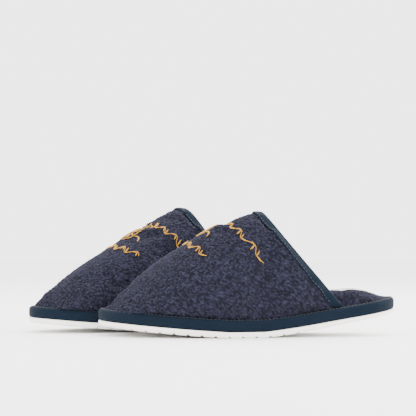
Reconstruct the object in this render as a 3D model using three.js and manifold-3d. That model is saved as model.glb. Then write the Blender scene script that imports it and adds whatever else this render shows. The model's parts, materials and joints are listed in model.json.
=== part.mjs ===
// A pair of closed-toe spa slippers, standing on Z = 0, toes towards -Y and the left one on the +X side.
// Each one is a mule: a moulded outsole, a foam and board sole wrapped in woven tape, a padded terry insole,
// and a padded terry upper with a taped topline and gold embroidery. Millimetres throughout.
import * as THREE from "three";
import { mergeVertices } from "three/addons/utils/BufferGeometryUtils.js";
import Module from "manifold-3d";

const wasm = await Module();
wasm.setup();

// Sole outline, for a left slipper whose outer side is +X. Distances along Y run from the toe tip.
const soleLength = 285;
const ballOuter = 53; // half widths, from the centre line
const ballInner = 51;
const waistOuter = 46.5;
const waistInner = 44;
const heelHalf = 37.5;
const toeTipShift = -5; // the toe tip lies a little towards the inner side
const toeBluntness = 0.66; // how far the toe runs straight across before it turns
const toeFullness = 0.5; // and how far the ball runs straight before it
const heelRoundness = 0.58;
const sideEase = 0.45; // length of the straight pull at each end of a side curve
const ballOuterFromToe = 104;
const ballInnerFromToe = 90;
const waistFromHeel = 112;
const heelRoundFromHeel = 42;

// Rocker of the whole sole: flat under the middle, lifting towards both ends.
const toeSpring = 9.5;
const heelSpring = 20.5;
const flatStartFromToe = 122;
const flatEndFromHeel = 130;
const rockerPower = 1.12;

// Sole layers, from the ground up, with a glue line between neighbours.
const seamGap = 0.3;
const outsoleThickness = 5.5;
const tapeThickness = 0.8;
const midsoleThickness = 4.7;
const boardThickness = 1.8;
const insoleEdge = 2; // from the sole's edge, under the lip of the tape
const insoleMargin = 1.5; // thickness of the insole terry where it is sewn down
const tapeLipTop = 4.6; // how far the tape folds in over the sole
const tapeLipUnder = 9; // and under it

// Tread: cross grooves in the outsole.
const grooveDepth = 1.2;
const grooveWidth = 3;
const grooveFloor = 0.6; // width of its floor, as a share of its mouth
const groovePitch = 13;
const plainToe = 30; // no grooves this near either end
const plainHeel = 26;

// Padded insole.
const padThickness = 4.5; // at the heel
const archRise = 6; // how much thicker the pad is from the arch forwards
const archFromHeel = 95;
const archEndFromHeel = 30;
const archFromToe = 120; // it thins again from here
const archEndFromToe = 50; // to here
const insoleTerryThickness = 2.5;
const shoulderRadius = 14; // how far from its edge the insole reaches its full height
const padMargin = 3; // between the foot of the upper and the pad
const padGap = 0.7; // between the pad and the terry over it
const labelHalfLength = 22;
const labelHalfWidth = 12;
const labelFromHeel = 42;
const labelThickness = 0.8;
const labelLift = 0.6;

// Upper.
const apexFromToe = 156; // highest point of the topline, on the centre line
const apexHeight = 117;
const heelOpening = 54; // from the heel end to where the topline meets the sole
const ridgeFall = 1.42; // curve of the ridge from the topline down to the toe
const toeRound = 0.94; // bluntness of the toe
const domeFullness = 0.86; // 1 is an elliptical cross-section, less is squarer
const toplineDip = 0.8; // 1 is a full topline, less cuts it deeper between the ridge and the sole
const layerGap = 0.4;
const upperTerryThickness = 3;
const paddingThickness = 2.5;
const liningThickness = 1;
const backingThickness = 0.5;
const backingSlack = 1.3; // room between the terry and its backing
const bindingThickness = 1;
const bindingGap = 1.1; // between the binding and the layers it closes
const bindingWidth = 10;
const upperClearance = 1; // between the tape lip and the foot of the upper

// Thread and embroidery.
const seamThreadRadius = 0.4;
const toplineThreadRadius = 0.35;
const scrollRadius = 1.1;
const crestHalfLength = 12;
const crestHalfWidth = 10;
const crestFromToe = 103;
const threadLift = 0.4; // of the embroidery over the terry
const crestThickness = 1.2;
const ridgeRun = 0.84; // distance towards the heel for each millimetre up the ridge
const backingMargin = 4;
const upperScrollFromToe = 122;
const lowerScrollFromToe = 83;
const upperScrollReach = 1.14; // radians of the dome that each scroll covers, either side of the ridge
const lowerScrollReach = 0.8;
const upperScrollSweep = 38; // how far the ends of each scroll lie back from its middle
const lowerScrollSweep = 20;
const upperScrollWaves = 8;
const lowerScrollWaves = 5;
const scrollAmplitude = 3;

// How the pair stands: the right slipper beside the left one, a little ahead of it and toed in.
const pairGap = 3; // between the two soles where they come closest, across the pair
const rightAhead = 75;
const rightToeIn = 17.5; // degrees

// Heights that follow from the layers.
const tapeBottom = outsoleThickness + seamGap;
const midsoleBottom = tapeBottom + tapeThickness + seamGap;
const boardBottom = midsoleBottom + midsoleThickness + seamGap;
const insoleBottom = boardBottom + boardThickness + seamGap;
const vampBase = insoleBottom + insoleMargin + seamGap;
const tapeTop = vampBase + tapeThickness;
const vampInset = tapeLipTop + upperClearance;
const coreInset = tapeThickness + seamGap;
const paddingDepth = upperTerryThickness + layerGap;
const liningDepth = paddingDepth + paddingThickness + layerGap;
const upperThickness = liningDepth + liningThickness;
const backingDepth = upperTerryThickness + backingSlack;
const bindingDepth = bindingThickness + bindingGap;
const upperFoot = vampInset + upperThickness + bindingDepth + upperClearance; // the insole is free from here
const padInset = upperFoot + padMargin;
const sideEnd = soleLength - heelOpening;
const bindingReach = bindingDepth + seamGap; // behind the edge of the upper
const flatEndFromToe = soleLength - flatEndFromHeel;

// Steps of the meshes.
const outlineSteps = [8, 4, 4, 6, 6, 4, 4, 8]; // toe, ball, waist and heel of the outer side, and back
const upperRows = 10;
const upperSteps = 12;
const insoleShares = 6;

const clamp01 = (v) => Math.min(1, Math.max(0, v));

// The eight curves of the sole's edge, from the toe tip round the outer side to the heel and back.
function outlineCurves() {
  const toe = new THREE.Vector2(toeTipShift, 0);
  const heel = new THREE.Vector2(0, soleLength);
  const quarter = (tip, side, blunt, full) => [
    new THREE.Vector2(tip.x + blunt * (side.x - tip.x), tip.y),
    new THREE.Vector2(side.x, side.y + full * (tip.y - side.y)),
  ];
  const along = (a, b) => [
    new THREE.Vector2(a.x, a.y + sideEase * (b.y - a.y)),
    new THREE.Vector2(b.x, b.y - sideEase * (b.y - a.y)),
  ];
  const chain = (sign, ballHalf, ballY, waistHalf) => {
    const ball = new THREE.Vector2(sign * ballHalf, ballY);
    const waist = new THREE.Vector2(sign * waistHalf, soleLength - waistFromHeel);
    const back = new THREE.Vector2(sign * heelHalf, soleLength - heelRoundFromHeel);
    const end = quarter(heel, back, heelRoundness, heelRoundness).reverse();
    return [
      [toe, ...quarter(toe, ball, toeBluntness, toeFullness), ball],
      [ball, ...along(ball, waist), waist],
      [waist, ...along(waist, back), back],
      [back, ...end, heel],
    ];
  };
  const outer = chain(1, ballOuter, ballOuterFromToe, waistOuter);
  const inner = chain(-1, ballInner, ballInnerFromToe, waistInner);
  const backwards = inner.reverse().map((c) => [...c].reverse());
  return [...outer, ...backwards].map((c) => new THREE.CubicBezierCurve(...c));
}

// Points round the sole's edge, moved inwards by inset.
function outlinePoints(inset) {
  const points = [];
  outlineCurves().forEach((curve, i) => {
    const steps = outlineSteps[i];
    for (let k = 0; k < steps; k++) {
      const tangent = curve.getTangent(k / steps);
      const inwards = new THREE.Vector2(-tangent.y, tangent.x);
      points.push(curve.getPoint(k / steps).addScaledVector(inwards, inset));
    }
  });
  return points;
}

// Where the edge at that inset lies on the inner and the outer side, at a distance from the toe.
const edgeCache = new Map();
function edgesAt(inset, fromToe) {
  const key = inset.toFixed(4);
  if (!edgeCache.has(key)) {
    const points = outlinePoints(inset);
    const heel = outlineSteps.slice(0, 4).reduce((a, b) => a + b);
    points[0].x = toeTipShift; // both tips stay on their own line at every inset
    points[heel].x = 0;
    edgeCache.set(key, {
      outer: points.slice(0, heel + 1),
      inner: [points[0], ...points.slice(heel).reverse()],
    });
  }
  const xOn = (side) => {
    const last = side.length - 1;
    if (fromToe <= side[0].y) return side[0].x;
    if (fromToe >= side[last].y) return side[last].x;
    const i = side.findIndex((p) => p.y >= fromToe);
    const t = (fromToe - side[i - 1].y) / (side[i].y - side[i - 1].y);
    return side[i - 1].x + t * (side[i].x - side[i - 1].x);
  };
  const { outer, inner } = edgeCache.get(key);
  return { outer: xOn(outer), inner: xOn(inner) };
}

// How far the sole is lifted off the ground by its rocker.
function soleRise(fromToe) {
  const toe = Math.max(0, (flatStartFromToe - fromToe) / flatStartFromToe);
  const heel = Math.max(0, (fromToe - flatEndFromToe) / flatEndFromHeel);
  return toeSpring * toe ** rockerPower + heelSpring * heel ** rockerPower;
}

// A closed mesh from quads of points. Points that coincide become one, and faces that collapse are left out.
function closedMesh(quads) {
  const index = new Map();
  const positions = [];
  const triangles = [];
  const id = (p) => {
    const key = p.toArray().map((v) => Math.round(v * 1e3)).join();
    if (!index.has(key)) {
      index.set(key, positions.length / 3);
      positions.push(...p.toArray());
    }
    return index.get(key);
  };
  for (const [a, b, c, d] of quads.map((q) => q.map(id))) {
    for (const t of [[a, b, c], [a, c, d]]) {
      if (new Set(t).size === 3) triangles.push(...t);
    }
  }
  return new THREE.BufferGeometry()
    .setAttribute("position", new THREE.Float32BufferAttribute(positions, 3))
    .setIndex(triangles);
}

// Quads between two rows of points; the second row lies to the left of the first one, seen from outside.
const strip = (a, b) => a.slice(1).map((_, i) => [a[i], a[i + 1], b[i + 1], b[i]]);
const sheet = (rows) => rows.slice(1).flatMap((row, i) => strip(rows[i], row));
const column = (rows, i) => rows.map((row) => row[i]);

// A quad seen from its other side, still split along the same diagonal, so that nested layers keep their gap.
const flip = ([a, b, c, d]) => [a, d, c, b];

// A solid between an upper and a lower grid of points with the same rows and columns. Rows run along +X
// and follow each other along +Y.
function slabOf(top, bottom) {
  const last = top[0].length - 1;
  const end = top.length - 1;
  return closedMesh([
    ...sheet(top),
    ...sheet(bottom).map(flip),
    ...strip(bottom[0], top[0]),
    ...strip(top[end], bottom[end]),
    ...strip(column(top, 0), column(bottom, 0)),
    ...strip(column(bottom, last), column(top, last)),
  ]);
}

// Booleans.
function solid(geometry) {
  const bare = new THREE.BufferGeometry().setAttribute("position", geometry.getAttribute("position"));
  if (geometry.index) bare.setIndex(geometry.index);
  const g = mergeVertices(bare, 1e-4);
  return new wasm.Manifold(
    new wasm.Mesh({
      numProp: 3,
      vertProperties: new Float32Array(g.attributes.position.array),
      triVerts: new Uint32Array(g.index.array),
    }),
  );
}

function geometryOf(made) {
  const m = made.getMesh();
  return new THREE.BufferGeometry()
    .setAttribute("position", new THREE.BufferAttribute(m.vertProperties, 3))
    .setIndex(new THREE.BufferAttribute(m.triVerts, 1));
}

// An upright prism of the sole's outline.
function prism(inset) {
  const shape = new THREE.Shape(outlinePoints(inset));
  const height = apexHeight + heelSpring;
  const geometry = new THREE.ExtrudeGeometry(shape, { depth: height, bevelEnabled: false });
  return solid(geometry.translate(0, 0, -heelSpring / 2));
}

// A slab that follows the rocker between two heights over the ground, wider than the sole.
const rockerStations = [
  ...[-0.05, 0.08, 0.2, 0.34, 0.5, 0.68, 0.85, 1].map((t) => t * flatStartFromToe),
  ...[0, 0.15, 0.32, 0.5, 0.66, 0.8, 0.92, 1.04].map((t) => flatEndFromToe + t * flatEndFromHeel),
];

function slab(bottomEdge, topHeight) {
  const top = rockerStations.map((y) => new THREE.Vector2(y, soleRise(y) + topHeight));
  const shape = new THREE.Shape([...bottomEdge, ...top.reverse()]);
  const width = 2 * (ballOuter + ballInner);
  const geometry = new THREE.ExtrudeGeometry(shape, { depth: width, bevelEnabled: false });
  const turn = new THREE.Matrix4().makeBasis(
    new THREE.Vector3(0, 1, 0),
    new THREE.Vector3(0, 0, 1),
    new THREE.Vector3(1, 0, 0),
  );
  return solid(geometry.applyMatrix4(turn).translate(-width / 2, 0, 0));
}

const level = (height) => rockerStations.map((y) => new THREE.Vector2(y, soleRise(y) + height));
const layer = (inset, bottom, top) => prism(inset).intersect(slab(level(bottom), top));

function outsole() {
  const count = Math.floor((soleLength - plainToe - plainHeel) / groovePitch);
  const grooves = Array.from({ length: count + 1 }, (_, i) => plainToe + i * groovePitch);
  const plain = rockerStations.filter((y) => grooves.every((g) => Math.abs(y - g) > grooveWidth));
  const mouth = grooveWidth / 2;
  const floor = mouth * grooveFloor;
  const cut = (g) => [[g - mouth, 0], [g - floor, grooveDepth], [g + floor, grooveDepth], [g + mouth, 0]];
  const profile = [...plain.map((y) => [y, 0]), ...grooves.flatMap(cut)].sort((a, b) => a[0] - b[0]);
  const edge = profile.map(([y, depth]) => new THREE.Vector2(y, soleRise(y) + depth));
  return geometryOf(prism(0).intersect(slab(edge, outsoleThickness)));
}

function soleTape() {
  const body = layer(0, tapeBottom, tapeTop);
  const core = layer(tapeThickness, tapeBottom + tapeThickness, tapeTop - tapeThickness);
  const under = layer(tapeLipUnder, tapeBottom - tapeThickness, tapeBottom + 2 * tapeThickness);
  const over = layer(tapeLipTop, tapeTop - 2 * tapeThickness, tapeTop + tapeThickness);
  return geometryOf(body.subtract(core).subtract(under).subtract(over));
}

const midsole = () => geometryOf(layer(coreInset, midsoleBottom, midsoleBottom + midsoleThickness));
const board = () => geometryOf(layer(coreInset, boardBottom, boardBottom + boardThickness));

// Distance from a point to the sole's edge.
const edgeLines = outlinePoints(0).map((p, i, all) => {
  const next = all[(i + 1) % all.length];
  return new THREE.Line3(new THREE.Vector3(p.x, p.y, 0), new THREE.Vector3(next.x, next.y, 0));
});
function fromEdge(x, y) {
  const point = new THREE.Vector3(x, y, 0);
  const nearest = new THREE.Vector3();
  return Math.min(...edgeLines.map((e) => e.closestPointToPoint(point, true, nearest).distanceTo(point)));
}

// Height of the insole terry's face: sewn down under the upper, swelling to its full height inside.
function insoleFace(x, y) {
  const backOfUpper = clamp01((y - sideEnd - bindingReach) / shoulderRadius);
  const start = THREE.MathUtils.lerp(upperFoot, vampInset, backOfUpper);
  const t = clamp01((fromEdge(x, y) - start) / shoulderRadius);
  const { smoothstep } = THREE.MathUtils;
  const behind = smoothstep(soleLength - y, archEndFromHeel, archFromHeel);
  const arch = archRise * behind * smoothstep(y, archEndFromToe, archFromToe);
  const swell = padThickness + arch + padGap + insoleTerryThickness - insoleMargin;
  return soleRise(y) + insoleBottom + insoleMargin + swell * Math.sqrt(1 - (1 - t) ** 2);
}

// A grid over the sole's plan. Its outer lines follow the edge at each inset; the rest share the width.
function planGrid(insets, height) {
  const inmost = insets[insets.length - 1];
  const ends = insets.flatMap((inset) => [inset, soleLength - inset]);
  const between = [...rockerStations, sideEnd + bindingReach].filter(
    (y) => y > inmost && y < soleLength - inmost,
  );
  const stations = [...ends, ...between].sort((a, b) => a - b);
  return stations.map((y) => {
    const edges = insets.map((inset) => edgesAt(inset, y));
    const { inner, outer } = edges[edges.length - 1];
    const shares = Array.from({ length: insoleShares - 1 }, (_, i) => (i + 1) / insoleShares);
    const across = [
      ...edges.map((edge) => edge.inner),
      ...shares.map((share) => THREE.MathUtils.lerp(inner, outer, share)),
      ...edges.reverse().map((edge) => edge.outer),
    ];
    return across.map((x) => new THREE.Vector3(x, y, height(x, y)));
  });
}

function insoleTerry() {
  const insets = [insoleEdge, vampInset, upperFoot, padInset];
  const under = (x, y) => Math.max(insoleFace(x, y) - insoleTerryThickness, soleRise(y) + insoleBottom);
  return slabOf(planGrid(insets, insoleFace), planGrid(insets, under));
}

function insolePad() {
  const top = (x, y) => insoleFace(x, y) - insoleTerryThickness - padGap;
  const bottom = (x, y) => soleRise(y) + insoleBottom;
  return slabOf(planGrid([padInset], top), planGrid([padInset], bottom));
}

// An oval patch that lies on a surface: place gives the point for a height over it and its two offsets.
function ovalPatch(place, low, high, halfAlong, halfAcross, rings, spokes) {
  const rowsAt = (height) =>
    Array.from({ length: rings + 1 }, (_, r) =>
      Array.from({ length: spokes + 1 }, (_, k) => {
        const a = (2 * Math.PI * k) / spokes;
        const share = r / rings;
        return place(height, share * halfAcross * Math.cos(a), share * halfAlong * Math.sin(a));
      }),
    );
  const top = rowsAt(high);
  const bottom = rowsAt(low);
  return closedMesh([
    ...sheet(top).map(flip),
    ...sheet(bottom),
    ...strip(bottom[rings], top[rings]),
  ]);
}

function insoleLabel() {
  const y0 = soleLength - labelFromHeel;
  const place = (height, across, along) =>
    new THREE.Vector3(across, y0 + along, insoleFace(across, y0 + along) + height);
  return ovalPatch(place, labelLift, labelLift + labelThickness, labelHalfLength, labelHalfWidth, 3, 20);
}

// A point of the upper: depth is measured inwards from the terry's face, and angle goes over the dome from
// the outer side (0) by the ridge to the inner side (pi).
function vampPoint(depth, fromToe, angle) {
  const inset = vampInset + depth;
  const { inner, outer } = edgesAt(inset, fromToe);
  const run = clamp01((fromToe - inset) / (apexFromToe - inset));
  const height = (apexHeight - vampBase - depth) * (1 - (1 - run) ** ridgeFall) ** toeRound;
  const cos = Math.cos(angle);
  const sin = Math.max(0, Math.sin(angle));
  const across = Math.sign(cos) * Math.abs(cos) ** domeFullness;
  return new THREE.Vector3(
    (outer + inner) / 2 + ((outer - inner) / 2) * across,
    fromToe,
    soleRise(fromToe) + vampBase + height * sin ** domeFullness,
  );
}

// The topline slants from the ridge down to the sole on either side.
const toplineAt = (angle) =>
  sideEnd + (apexFromToe - sideEnd) * Math.max(0, Math.sin(angle)) ** toplineDip;

// The angles of the upper's mesh. The binding leaves out the first and the last, and so clears the tape.
const footHeight = (tapeThickness + 2 * seamGap) / (apexHeight - vampBase - upperThickness);
const foot = Math.asin(footHeight ** (1 / domeFullness));
const between = Array.from({ length: upperSteps - 1 }, (_, i) => (Math.PI * (i + 1)) / upperSteps);
const upperAngles = [0, foot, ...between, Math.PI - foot, Math.PI];

// One layer of the upper, from a depth inwards. It opens at the topline and stands on its lower edge.
function upperLayer(depth, thickness) {
  const rowsAt = (d) => {
    const row = (place) =>
      [...upperAngles].reverse().map((angle) => vampPoint(d, place(toplineAt(angle)), angle));
    const start = vampInset + d;
    const rows = Array.from({ length: upperRows }, (_, i) => {
      const share = 1 - Math.cos((Math.PI / 2) * (i / (upperRows - 1)));
      return row((topline) => start + share * (topline - bindingWidth - start));
    });
    return [...rows, row((topline) => topline)];
  };
  return slabOf(rowsAt(depth), rowsAt(depth + thickness));
}

// A point over the terry round the crest, by the height and the distances across and up the ridge.
function crestPlace(height, across, along) {
  const radius = (ballOuter + ballInner) / 2;
  return vampPoint(-height, crestFromToe + along * ridgeRun, Math.PI / 2 - across / radius);
}

const crestPatch = (low, high, margin) =>
  ovalPatch(crestPlace, low, high, crestHalfLength + margin, crestHalfWidth + margin, 3, 16);
const crest = () => crestPatch(threadLift, threadLift + crestThickness, 0);
const backing = () => crestPatch(-backingDepth - backingThickness, -backingDepth, backingMargin);

// The wadding, with a shallow pocket for the backing of the crest.
function padding() {
  const pocket = crestPatch(
    -backingDepth - backingThickness - layerGap,
    -upperTerryThickness,
    backingMargin + layerGap,
  );
  return geometryOf(solid(upperLayer(paddingDepth, paddingThickness)).subtract(solid(pocket)));
}

// The tape folded over the topline: a U-shaped section carried round the edge.
function toplineBinding() {
  const out = bindingDepth;
  const section = [
    [-bindingGap, -bindingWidth],
    [-out, -bindingWidth],
    [-out, out],
    [upperThickness + out, out],
    [upperThickness + out, -bindingWidth],
    [upperThickness + bindingGap, -bindingWidth],
    [upperThickness + bindingGap, bindingGap],
    [-bindingGap, bindingGap],
  ];
  const rows = upperAngles.slice(1, -1).map((angle) => {
    const ring = section.map(([depth, along]) => vampPoint(depth, toplineAt(angle) + along, angle));
    return [...ring, ring[0]];
  });
  const cap = ([a, b, c, d, e, f, g, h]) => [[a, b, c, h], [h, c, d, g], [g, d, e, f]];
  return closedMesh([
    ...sheet(rows),
    ...cap(rows[0]).map(flip),
    ...cap(rows[rows.length - 1]),
  ]);
}

// A round thread or cord along a curve through points.
function thread(points, radius, sides, steps) {
  const corner = (i) => {
    const a = (2 * Math.PI * i) / sides;
    return new THREE.Vector2(radius * Math.cos(a), radius * Math.sin(a));
  };
  const shape = new THREE.Shape(Array.from({ length: sides }, (_, i) => corner(i)));
  const path = new THREE.CatmullRomCurve3(points);
  return new THREE.ExtrudeGeometry(shape, { steps, bevelEnabled: false, extrudePath: path });
}

// The seam that closes the tape over the insole, just inside the fold, open where its ends meet.
function seamThread() {
  const points = outlinePoints(tapeLipTop / 2).map(
    (p) => new THREE.Vector3(p.x, p.y, soleRise(p.y) + tapeTop + seamThreadRadius + seamGap),
  );
  const start = outlineSteps.slice(0, 6).reduce((a, b) => a + b);
  return thread([...points.slice(start), ...points.slice(0, start - 1)], seamThreadRadius, 4, 56);
}

function toplineThread() {
  const steps = 14;
  const height = bindingDepth + toplineThreadRadius + threadLift;
  const points = Array.from({ length: steps + 1 }, (_, j) => {
    const angle = Math.PI * (0.02 + (0.96 * j) / steps);
    return vampPoint(-height, toplineAt(angle) - bindingWidth * 0.8, angle);
  });
  return thread(points, toplineThreadRadius, 4, 28);
}

// A waving scroll of embroidery across the ridge, its ends swept back towards the topline.
function scroll(fromToe, reach, sweep, waves) {
  const count = waves * 4;
  const points = Array.from({ length: count + 1 }, (_, i) => {
    const t = THREE.MathUtils.lerp(-1, 1, i / count);
    const wave = scrollAmplitude * Math.sin((Math.PI / 2) * i);
    return vampPoint(-(scrollRadius + threadLift), fromToe + sweep * t * t + wave, Math.PI / 2 - reach * t);
  });
  return thread(points, scrollRadius, 4, count * 2);
}

const colour = (r, g, b, roughness) => new THREE.MeshStandardMaterial({
  color: new THREE.Color(r, g, b),
  roughness,
  metalness: 0,
});
const finishes = {
  outsole: colour(0.86, 0.84, 0.8, 0.6),
  tape: colour(0.03, 0.055, 0.09, 0.85),
  terry: colour(0.06, 0.06, 0.11, 0.95),
  foam: colour(0.75, 0.75, 0.72, 0.9),
  board: colour(0.45, 0.36, 0.25, 0.85),
  lining: colour(0.05, 0.055, 0.1, 0.9),
  backing: colour(0.8, 0.8, 0.8, 0.9),
  gold: colour(0.75, 0.48, 0.1, 0.45),
  white: colour(0.88, 0.88, 0.86, 0.7),
  thread: colour(0.04, 0.06, 0.1, 0.7),
};

// One slipper, a left one, with its nodes named for the side it is used on.
function slipper(side) {
  const pieces = {
    outsole: [outsole(), finishes.outsole],
    sole_tape: [soleTape(), finishes.tape],
    midsole_foam: [midsole(), finishes.foam],
    insole_board: [board(), finishes.board],
    insole_pad: [insolePad(), finishes.foam],
    insole_terry: [insoleTerry(), finishes.terry],
    insole_label: [insoleLabel(), finishes.white],
    edge_seam_thread: [seamThread(), finishes.thread],
    upper_terry: [upperLayer(0, upperTerryThickness), finishes.terry],
    upper_padding: [padding(), finishes.foam],
    upper_lining: [upperLayer(liningDepth, liningThickness), finishes.lining],
    topline_binding: [toplineBinding(), finishes.tape],
    topline_thread: [toplineThread(), finishes.thread],
    embroidery_crest: [crest(), finishes.gold],
    embroidery_backing: [backing(), finishes.backing],
    upper_scroll: [
      scroll(upperScrollFromToe, upperScrollReach, upperScrollSweep, upperScrollWaves),
      finishes.gold,
    ],
    lower_scroll: [
      scroll(lowerScrollFromToe, lowerScrollReach, lowerScrollSweep, lowerScrollWaves),
      finishes.gold,
    ],
  };
  const group = new THREE.Group();
  for (const [name, [geometry, material]] of Object.entries(pieces)) {
    const mesh = new THREE.Mesh(geometry.translate(0, -soleLength / 2, 0), material);
    mesh.name = `${side}_${name}`;
    group.add(mesh);
  }
  return group;
}

// How far left of the left slipper the right one lies, so that their soles keep the gap between them.
function pairSpacing(turn, ahead) {
  const middle = new THREE.Vector2(0, soleLength / 2);
  const leftSole = outlinePoints(0).map((p) => p.sub(middle));
  const rightSole = leftSole.map((p) => {
    const mirrored = new THREE.Vector2(-p.x, p.y);
    return mirrored.rotateAround(new THREE.Vector2(), turn).sub(new THREE.Vector2(0, ahead));
  });
  const crossings = (sole, y) =>
    sole.flatMap((a, i) => {
      const b = sole[(i + 1) % sole.length];
      if ((a.y - y) * (b.y - y) > 0 || a.y === b.y) return [];
      return [THREE.MathUtils.lerp(a.x, b.x, (y - a.y) / (b.y - a.y))];
    });
  const reaches = [...leftSole, ...rightSole].map(
    ({ y }) => Math.max(...crossings(rightSole, y)) - Math.min(...crossings(leftSole, y)),
  );
  return pairGap + Math.max(...reaches.filter(Number.isFinite));
}

const left = slipper("left");
const right = slipper("right");
const turn = THREE.MathUtils.degToRad(rightToeIn);
right.scale.x = -1;
right.rotation.z = turn;
right.position.set(-pairSpacing(turn, rightAhead), -rightAhead, 0);

// The origin is the middle of the pair's footprint, on the ground.
const pair = new THREE.Group();
pair.add(left, right);
const middle = new THREE.Box3().setFromObject(pair, true).getCenter(new THREE.Vector3());
pair.position.set(-middle.x, -middle.y, 0);

export default pair;
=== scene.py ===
import json
import math

import bpy
import numpy as np
from mathutils import Matrix, Vector, noise


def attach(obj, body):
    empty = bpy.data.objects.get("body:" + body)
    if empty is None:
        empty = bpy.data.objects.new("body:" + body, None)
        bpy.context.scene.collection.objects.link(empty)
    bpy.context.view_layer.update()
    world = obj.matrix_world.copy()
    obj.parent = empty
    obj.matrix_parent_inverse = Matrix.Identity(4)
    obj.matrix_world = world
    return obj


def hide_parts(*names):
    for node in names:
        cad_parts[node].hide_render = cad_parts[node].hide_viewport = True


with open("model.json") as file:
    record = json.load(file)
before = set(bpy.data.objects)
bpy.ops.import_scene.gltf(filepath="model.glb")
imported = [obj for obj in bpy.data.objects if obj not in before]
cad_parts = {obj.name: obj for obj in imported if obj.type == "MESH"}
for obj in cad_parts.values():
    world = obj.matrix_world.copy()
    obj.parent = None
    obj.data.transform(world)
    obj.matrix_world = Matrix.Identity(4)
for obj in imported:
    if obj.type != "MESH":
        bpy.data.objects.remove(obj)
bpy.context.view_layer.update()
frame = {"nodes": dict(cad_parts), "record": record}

# Where the two slippers stand. Each is made in its own frame, with x to its outer side, y from the middle of
# the sole to the heel and z up. The left one is stood up as it is, the right one mirrored and toed in, with
# the flat of each sole on its mount.
mm = 0.001
sides = ("left", "right")
right_toe_in = math.radians(17.5)
flat_of_sole = Vector((1 * mm, -15 * mm, 0))
sole_mounts = {m["name"]: Vector(m["pos_m"]) for m in frame["record"]["mounts"]}

stands = {}
for side in sides:
    mirror = Matrix.Diagonal((-1 if side == "right" else 1, 1, 1, 1))
    turn = Matrix.Rotation(right_toe_in if side == "right" else 0, 4, "Z") @ mirror
    place = sole_mounts[side + "_sole"] - turn @ flat_of_sole
    stands[side] = Matrix.Translation((place.x, place.y, 0)) @ turn


# The view. The eye is low, in front of the left slipper's outer side and a little towards its toe. The floor
# is plain and pale, and large panels above and behind light the pile softly and leave a shadow under the
# toes.
eye_distance = 1.468
eye_height = 88 * mm
eye_swing = math.radians(4.5)
eye_past_middle = 37.4 * mm  # how far the middle of the left sole lies to the right of the view's axis
eye_tilt = math.radians(1.34)
lens_mm = 131.8

level = Vector((-math.cos(eye_swing), math.sin(eye_swing), 0))
to_right = Vector((math.sin(eye_swing), math.cos(eye_swing), 0))
camera = bpy.data.objects.new("eye", bpy.data.cameras.new("eye"))
bpy.context.scene.collection.objects.link(camera)
camera.location = stands["left"].translation - level * eye_distance - to_right * eye_past_middle
camera.location.z = eye_height
looking = level * math.cos(eye_tilt) + Vector((0, 0, math.sin(eye_tilt)))
camera.rotation_euler = looking.to_track_quat("-Z", "Y").to_euler()
camera.data.lens = lens_mm
camera.data.sensor_width = 36
camera.data.clip_start = 0.05
camera.data.clip_end = 40
bpy.context.scene.camera = camera


class Wire:
    """A socket in a material. Arithmetic on a wire adds Math nodes, and node() adds any other node."""

    def __init__(self, tree, socket=None):
        self.tree = tree
        self.socket = socket

    def node(self, kind, settings=None, sockets=None, out=0):
        """A new node with its settings and inputs set, as the wire of one of its outputs."""
        made = self.tree.nodes.new("ShaderNode" + kind)
        for name, value in (settings or {}).items():
            setattr(made, name, value)
        for name, value in (sockets or {}).items():
            if isinstance(value, Wire):
                self.tree.links.new(value.socket, made.inputs[name])
            else:
                made.inputs[name].default_value = value
        return Wire(self.tree, made.outputs[out])

    def maths(self, operation, *values):
        return self.node("Math", {"operation": operation}, dict(enumerate(values)))

    def __add__(self, other):
        return self.maths("ADD", self, other)

    __radd__ = __add__

    def __sub__(self, other):
        return self.maths("SUBTRACT", self, other)

    def __rsub__(self, other):
        return self.maths("SUBTRACT", other, self)

    def __mul__(self, other):
        return self.maths("MULTIPLY", self, other)

    __rmul__ = __mul__

    def place(self):
        """Where a point of the surface is, in metres."""
        return self.node("TexCoord", out=3)

    def speckle(self, size, detail=2.0, roughness=0.5):
        """Soft random spots of about that size in metres, from 0 to 1."""
        return self.node("TexNoise", None, {
            "Vector": self.place(), "Scale": 1 / size, "Detail": detail, "Roughness": roughness,
        })

    def between(self, low, high):
        """0 where the wire is below low, 1 where it is above high, and smooth in between."""
        return self.node("MapRange", {"interpolation_type": "SMOOTHSTEP"}, {
            "Value": self, "From Min": low, "From Max": high,
        })

    def mix(self, first, second):
        """The first colour where the wire is 0 and the second where it is 1."""
        full = [(*c, 1) if isinstance(c, tuple) else c for c in (first, second)]
        return self.node("Mix", {"data_type": "RGBA"}, {0: self, 6: full[0], 7: full[1]}, out=2)


def finish_of(name, paint, fixed):
    """A material. paint(wire) gives what changes over the surface; fixed holds the sockets that don't."""
    material = bpy.data.materials.new(name)
    material.use_nodes = True
    tree = material.node_tree
    tree.nodes.clear()
    out = tree.nodes.new("ShaderNodeOutputMaterial")
    shader = tree.nodes.new("ShaderNodeBsdfPrincipled")
    tree.links.new(shader.outputs[0], out.inputs["Surface"])
    for socket, value in fixed.items():
        shader.inputs[socket].default_value = value
    changing = paint(Wire(tree))
    if "Height" in changing:
        height, depth = changing.pop("Height")
        changing["Normal"] = height.node("Bump", None, {"Height": height, "Strength": 1.0, "Distance": depth})
    for socket, wire in changing.items():
        tree.links.new(wire.socket, shader.inputs[socket])
    return material


floor_colour = (0.93, 0.93, 0.925)
half_floor = 6.0
sky_strength = 3.9


def floor_paint(w):
    return {
        "Base Color": w.speckle(0.4).mix(floor_colour, tuple(c * 0.99 for c in floor_colour)),
        "Height": (w.speckle(0.004), 0.02 * mm),
    }


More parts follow.
